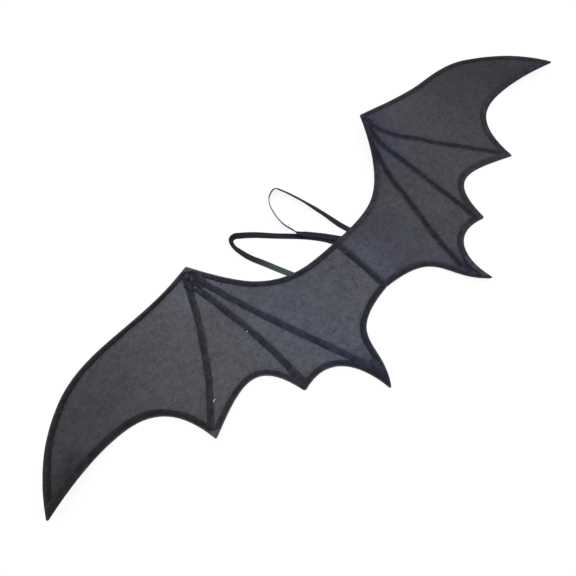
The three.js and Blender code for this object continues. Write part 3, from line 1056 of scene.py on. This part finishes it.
class Shader:
    """The nodes of one material."""

    def __init__(self, name, roughness, **constants):
        self.material = bpy.data.materials.new(name)
        self.material.use_nodes = True
        self.nodes = self.material.node_tree.nodes
        self.links = self.material.node_tree.links
        self.nodes.clear()
        self.cloth = self.nodes.new("ShaderNodeBsdfPrincipled")
        self.cloth.inputs["Roughness"].default_value = roughness
        for label, value in constants.items():
            self.cloth.inputs[label.replace("_", " ")].default_value = value
        output = self.nodes.new("ShaderNodeOutputMaterial")
        self.links.new(self.cloth.outputs[0], output.inputs[0])

    def node(self, kind, settings=None, inputs=None):
        node = self.nodes.new(kind)
        for label, value in (settings or {}).items():
            setattr(node, label, value)
        for label, value in (inputs or {}).items():
            if isinstance(value, Value):
                self.links.new(value.socket, node.inputs[label])
            else:
                node.inputs[label].default_value = value
        return node

    def value(self, kind, settings=None, inputs=None, output=0):
        return Value(self, self.node(kind, settings, inputs).outputs[output])

    def cloud(self, scale, detail=2, stretch=(1, 1, 1)):
        """Noise in the object's own space, squeezed or drawn out along its axes."""
        spot = self.value("ShaderNodeTexCoord", output=3)
        place = self.value("ShaderNodeVectorMath", {"operation": "MULTIPLY"}, {0: spot, 1: stretch})
        return self.value("ShaderNodeTexNoise", None, {"Vector": place, "Scale": scale, "Detail": detail})

    def attribute(self, label):
        return self.value("ShaderNodeAttribute", {"attribute_name": label}, output=2)

    def mix(self, share, first, second, way="MIX"):
        settings = {"data_type": "RGBA", "blend_type": way}
        return self.value("ShaderNodeMix", settings, {0: share, 6: first, 7: second}, output=2)

    def feed(self, label, value):
        self.links.new(value.socket, self.cloth.inputs[label])

    def bump(self, height, distance, strength):
        inputs = {"Height": height, "Distance": distance, "Strength": strength}
        self.feed("Normal", self.value("ShaderNodeBump", None, inputs))


BLACK = (0, 0, 0, 1)


def shaded(colour, amount, tint=(1, 1, 1)):
    return (*(channel * amount * share for channel, share in zip(colour, tint)), 1)


def felt_material(name, colour, dye, tint):
    """Pressed felt: fibres that lie every way, cloudy dye and stray dark fibres."""
    shader = Shader(name, 0.95, Sheen_Weight=0.04, Sheen_Roughness=0.6, Specular_IOR_Level=0.12)
    cloudy = shader.cloud(16, 3)
    patchy = shader.cloud(85, 3, (1, 1.6, 1))
    lying = shader.cloud(900, 2, (0.35, 1, 1))
    standing = shader.cloud(700, 2, (1, 0.35, 1))
    fibres = (lying + standing + shader.cloud(1900)) * 0.3333
    tufts = shader.cloud(320, 3, (1, 1.3, 1))
    clumps = shader.cloud(170, 2, (1.4, 1, 1))
    shade = 0.5 + cloudy.swing(0.4) + patchy.swing(0.65) + clumps.swing(0.85)
    shade = shade + tufts.swing(0.9) + fibres.swing(1.0)
    stray = ((shader.cloud(520, 1, (0.3, 1, 1)) - 0.66) * 6).clamped()
    stray = stray + ((shader.cloud(480, 1, (1, 0.3, 1)) - 0.67) * 6).clamped()
    dyed = shader.mix(shade.clamped(), shaded(colour, 0.6, dye), shaded(colour, 1.4, dye))
    dyed = shader.mix((stray * 0.35).clamped(), dyed, shaded(colour, 0.4))
    dyed = shader.mix(shader.attribute("bluish"), dyed, (*tint, 1), "MULTIPLY")
    # The tone attribute brings in the painted shade and the painted highlight beside the seam
    shader.feed("Base Color", shader.mix(shader.attribute("tone") * LIGHTEST_FELT, BLACK, dyed))
    shader.bump(fibres + tufts * 0.5 + patchy * 0.4, 0.0006, 0.9)
    return shader.material


def thread_material(colour):
    """Twisted polyester thread, with a soft gloss that varies from stitch to stitch."""
    shader = Shader("embroidery_thread", 0.55, Specular_IOR_Level=0.3)
    varied = shader.cloud(700, 1)
    patchy, broad = shader.cloud(190, 3), shader.cloud(80)
    share = (varied.swing(1.8) + patchy.swing(1.8) + broad.swing(1.2) + 0.5).clamped()
    lit = shader.mix(share, shaded(colour, 0.35 * LIGHTEST_THREAD), shaded(colour, 1.65 * LIGHTEST_THREAD))
    lit = shader.mix(shader.attribute("bluish"), lit, (0.95, 0.98, 1.75, 1), "MULTIPLY")
    # The tone attribute brings in the painted light and shade across each band
    shader.feed("Base Color", shader.mix(shader.attribute("tone"), BLACK, lit))
    shader.feed("Roughness", 0.45 + varied * 0.25)
    shader.bump(shader.cloud(4200, 1), 0.00008, 0.5)
    return shader.material


def padding_material(colour):
    """The dark padding cord that shows between the stitches."""
    shader = Shader("stitch_padding", 0.95, Specular_IOR_Level=0.2)
    fibres = shader.cloud(2200)
    cord = shader.mix(fibres, shaded(colour, 0.35 * LIGHTEST_THREAD), shaded(colour, 0.8 * LIGHTEST_THREAD))
    # The tone attribute brings in the painted light and shade across each band
    shader.feed("Base Color", shader.mix(shader.attribute("tone"), BLACK, cord))
    shader.bump(fibres, 0.0002, 0.6)
    return shader.material


def elastic_material(colour):
    """Flat woven elastic, with small slanting stitches between its cords."""
    shader = Shader("woven_elastic", 0.62, Specular_IOR_Level=0.22)
    column = (shader.attribute("across") * (CORDS * math.pi / 8)).sine()
    row = (shader.attribute("along") * 7.0 + column * 1.4).sine()
    weave = (row * 0.5 + 0.5) * 0.7 + column * column * 0.3
    fibres = shader.cloud(1500)
    share = (0.08 + weave * 0.45 + fibres * 0.25 + shader.cloud(30) * 0.14).clamped()
    navy, painted_light = (0.85, 0.95, 1.35), (1, 1.25, 1.02)
    dyed = shader.mix(share, shaded(colour, 0.15, navy), shaded(colour, 0.75, navy))
    # A painted highlight, standing in for light on a face of the elastic that tilts towards the lamp
    painted_highlight = shader.mix(share, shaded(colour, 1.9, painted_light), shaded(colour, 2.8, painted_light))
    shader.feed("Base Color", shader.mix(shader.attribute("painted_light"), dyed, painted_highlight))
    shader.bump(weave + fibres * 0.3, 0.00022, 0.8)
    return shader.material


def plain_material(name, colour, **constants):
    shader = Shader(name, 0.9, **constants)
    shader.feed("Base Color", shader.mix(shader.cloud(400), shaded(colour, 0.97), shaded(colour, 1.0)))
    return shader.material


# Operators


class WINGS_OT_felt(bpy.types.Operator):
    """Make the two felt halves."""

    bl_idname = "wings.felt"
    bl_label = "Felt halves"

    def execute(self, context):
        felt = Felt()
        dyes = {"left": (1, 1, 1), "right": (0.98, 1.06, 1.04)}
        tints = {"left": (0.98, 1.02, 1.24), "right": (1.1, 1.02, 1.4)}
        for seed, half in enumerate(SIDES, 11):
            name = f"felt_{half}"
            mesh = felt_mesh(name, half, felt, np.random.default_rng(seed))
            material = felt_material(name, getattr(context.scene.wing_colours, name), dyes[half], tints[half])
            piece = add_piece(name, mesh, [material], [f"felt_panel_{half}"])
        return {"FINISHED"}


class WINGS_OT_borders(bpy.types.Operator):
    """Sew the border along the edge of each half."""

    bl_idname = "wings.borders"
    bl_label = "Stitched borders"

    def execute(self, context):
        felt = Felt()
        for seed, half in enumerate(SIDES, 21):
            band = Band(felt, seed)
            sew_border(band, half)
            band.finish(f"border_{half}", [f"edge_stitch_{half}"])
        return {"FINISHED"}


class WINGS_OT_ribs(bpy.types.Operator):
    """Sew the ribs from the shoulder spikes to the points."""

    bl_idname = "wings.ribs"
    bl_label = "Stitched ribs"

    def execute(self, context):
        felt = Felt()
        for number, row in enumerate(RIBS):
            node = f"rib_{row.half}_{row.name}"
            band = Band(felt, 31 + number, RIB_BLUISH[row.half], 1.1)
            sew_rib(band, row, RIBS[:number])
            if row.name == "inner":
                sew_rib(band, TAIL_FILLS[row.half], RIBS)
            band.finish(f"sewn_{node}", [node])
        return {"FINISHED"}


class WINGS_OT_seam(bpy.types.Operator):
    """Sew the band over the middle seam."""

    bl_idname = "wings.seam"
    bl_label = "Middle seam"

    def execute(self, context):
        band = Band(Felt(), 41, SEAM_BLUISH)
        sew_seam(band)
        band.finish("seam_stitching", ["center_seam"])
        return {"FINISHED"}


class WINGS_OT_knots(bpy.types.Operator):
    """Add the tangled stitches where the ribs meet."""

    bl_idname = "wings.knots"
    bl_label = "Spike stitches"

    def execute(self, context):
        felt = Felt()
        # The tangle's middle and reach in millimetres, and its number of stitches
        tangles = {"left": ((162, 88), 15, 130), "right": ((156, 100), 10, 50)}
        for seed, half in enumerate(SIDES, 51):
            band = Band(felt, seed)
            knot_stitches(band, half, *tangles[half])
            band.finish(f"spike_stitches_{half}")
        return {"FINISHED"}


class WINGS_OT_loops(bpy.types.Operator):
    """Make the two elastic arm loops."""

    bl_idname = "wings.loops"
    bl_label = "Arm loops"

    def execute(self, context):
        material = elastic_material(context.scene.wing_colours.elastic)
        for half in SIDES:
            name = f"elastic_{half}"
            mesh = elastic_mesh(name, half, wing_sizes())
            add_piece(name, mesh, [material], [f"arm_strap_{half}"])
        return {"FINISHED"}


class WINGS_OT_lint(bpy.types.Operator):
    """Scatter the bits of white lint."""

    bl_idname = "wings.lint"
    bl_label = "Lint"

    def execute(self, context):
        band = Band(Felt(), 61)
        share = np.linspace(-1, 1, 7)
        for place, reach in LINT:
            for _ in range(5):
                turn = band.random.uniform(0, math.pi)
                run = np.array((math.cos(turn), math.sin(turn))) * reach / 2
                flat = np.array(place) + run * share[:, None] + band.random.normal(0, 0.25, 2)
                high = 0.9 + 0.5 * smooth_fall(share) * band.random.uniform(0.3, 1)
                band.loose(np.column_stack([flat, high])[None], 0.22)
        add_piece("lint", band.mesh("lint"), [plain_material("white_lint", (0.75, 0.75, 0.75))])
        return {"FINISHED"}


class WINGS_OT_stage(bpy.types.Operator):
    """Set the floor, the light and the camera."""

    bl_idname = "wings.stage"
    bl_label = "Stage"

    def execute(self, context):
        scene = context.scene
        floor_mesh = bpy.data.meshes.new("floor")
        reach, depth = 8, -0.0003
        corners = [(x * reach, y * reach, depth) for x, y in ((-1, -1), (1, -1), (1, 1), (-1, 1))]
        floor_mesh.from_pydata(corners, [], [(0, 1, 2, 3)])
        floor = bpy.data.objects.new("floor", floor_mesh)
        glow = {"Emission_Color": (1, 1, 1, 1), "Emission_Strength": 0.88}
        floor_mesh.materials.append(plain_material("floor", scene.wing_colours.floor, **glow))
        scene.collection.objects.link(floor)
        scene.world = bpy.data.worlds.new("studio")
        scene.world.use_nodes = True
        background = scene.world.node_tree.nodes["Background"]
        background.inputs["Color"].default_value = (1, 1, 1, 1)
        background.inputs["Strength"].default_value = 0.7
        add_sun("soft_light", (0.45, 0.3, 1), 1.22, 80)
        add_camera(scene)
        scene.view_settings.view_transform = "Standard"
        return {"FINISHED"}


def add_sun(name, towards, strength, spread):
    light = bpy.data.lights.new(name, "SUN")
    light.energy = strength
    light.angle = math.radians(spread)
    lamp = bpy.data.objects.new(name, light)
    lamp.rotation_mode = "QUATERNION"
    lamp.rotation_quaternion = Vector(towards).to_track_quat("Z", "Y")
    bpy.context.scene.collection.objects.link(lamp)


def add_camera(scene):
    """The camera where the photograph was taken from."""
    lens = bpy.data.cameras.new("camera")
    lens.sensor_width = 36
    lens.lens = 32.5
    camera = bpy.data.objects.new("camera", lens)
    forward = Vector((0.2757, 0.30854, -0.91038)).normalized()
    right = forward.cross(Vector((0.6439, 0.64391, 0.41323))).normalized()
    turn = Matrix((right, right.cross(forward), -forward)).transposed()
    place = Vector((-266.22, -202.71 + SEAM_TOP_Y, 590.32)) * MM
    camera.matrix_world = Matrix.Translation(place) @ turn.to_4x4()
    scene.collection.objects.link(camera)
    scene.camera = camera


class WINGS_PT_panel(bpy.types.Panel):
    """The wings' operators, sizes and colours."""

    bl_idname = "WINGS_PT_panel"
    bl_label = "Bat Wings"
    bl_space_type = "VIEW_3D"
    bl_region_type = "UI"
    bl_category = "Bat Wings"

    def draw(self, context):
        for operator in OPERATORS:
            self.layout.operator(operator.bl_idname)
        for group in (context.scene.wing_sizes, context.scene.wing_colours):
            for name in group.__annotations__:
                self.layout.prop(group, name)


OPERATORS = [
    WINGS_OT_felt,
    WINGS_OT_borders,
    WINGS_OT_ribs,
    WINGS_OT_seam,
    WINGS_OT_knots,
    WINGS_OT_loops,
    WINGS_OT_lint,
    WINGS_OT_stage,
]
CLASSES = [WingSizes, WingColours, *OPERATORS, WINGS_PT_panel]


def register():
    for made in CLASSES:
        bpy.utils.register_class(made)
    bpy.types.Scene.wing_sizes = PointerProperty(type=WingSizes)
    bpy.types.Scene.wing_colours = PointerProperty(type=WingColours)


def unregister():
    del bpy.types.Scene.wing_colours
    del bpy.types.Scene.wing_sizes
    for made in reversed(CLASSES):
        bpy.utils.unregister_class(made)


def main():
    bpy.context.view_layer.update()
    register()
    bpy.ops.wings.felt()
    bpy.ops.wings.borders()
    bpy.ops.wings.ribs()
    bpy.ops.wings.seam()
    bpy.ops.wings.knots()
    bpy.ops.wings.loops()
    bpy.ops.wings.lint()
    bpy.ops.wings.stage()


if __name__ == "__main__":
    main()
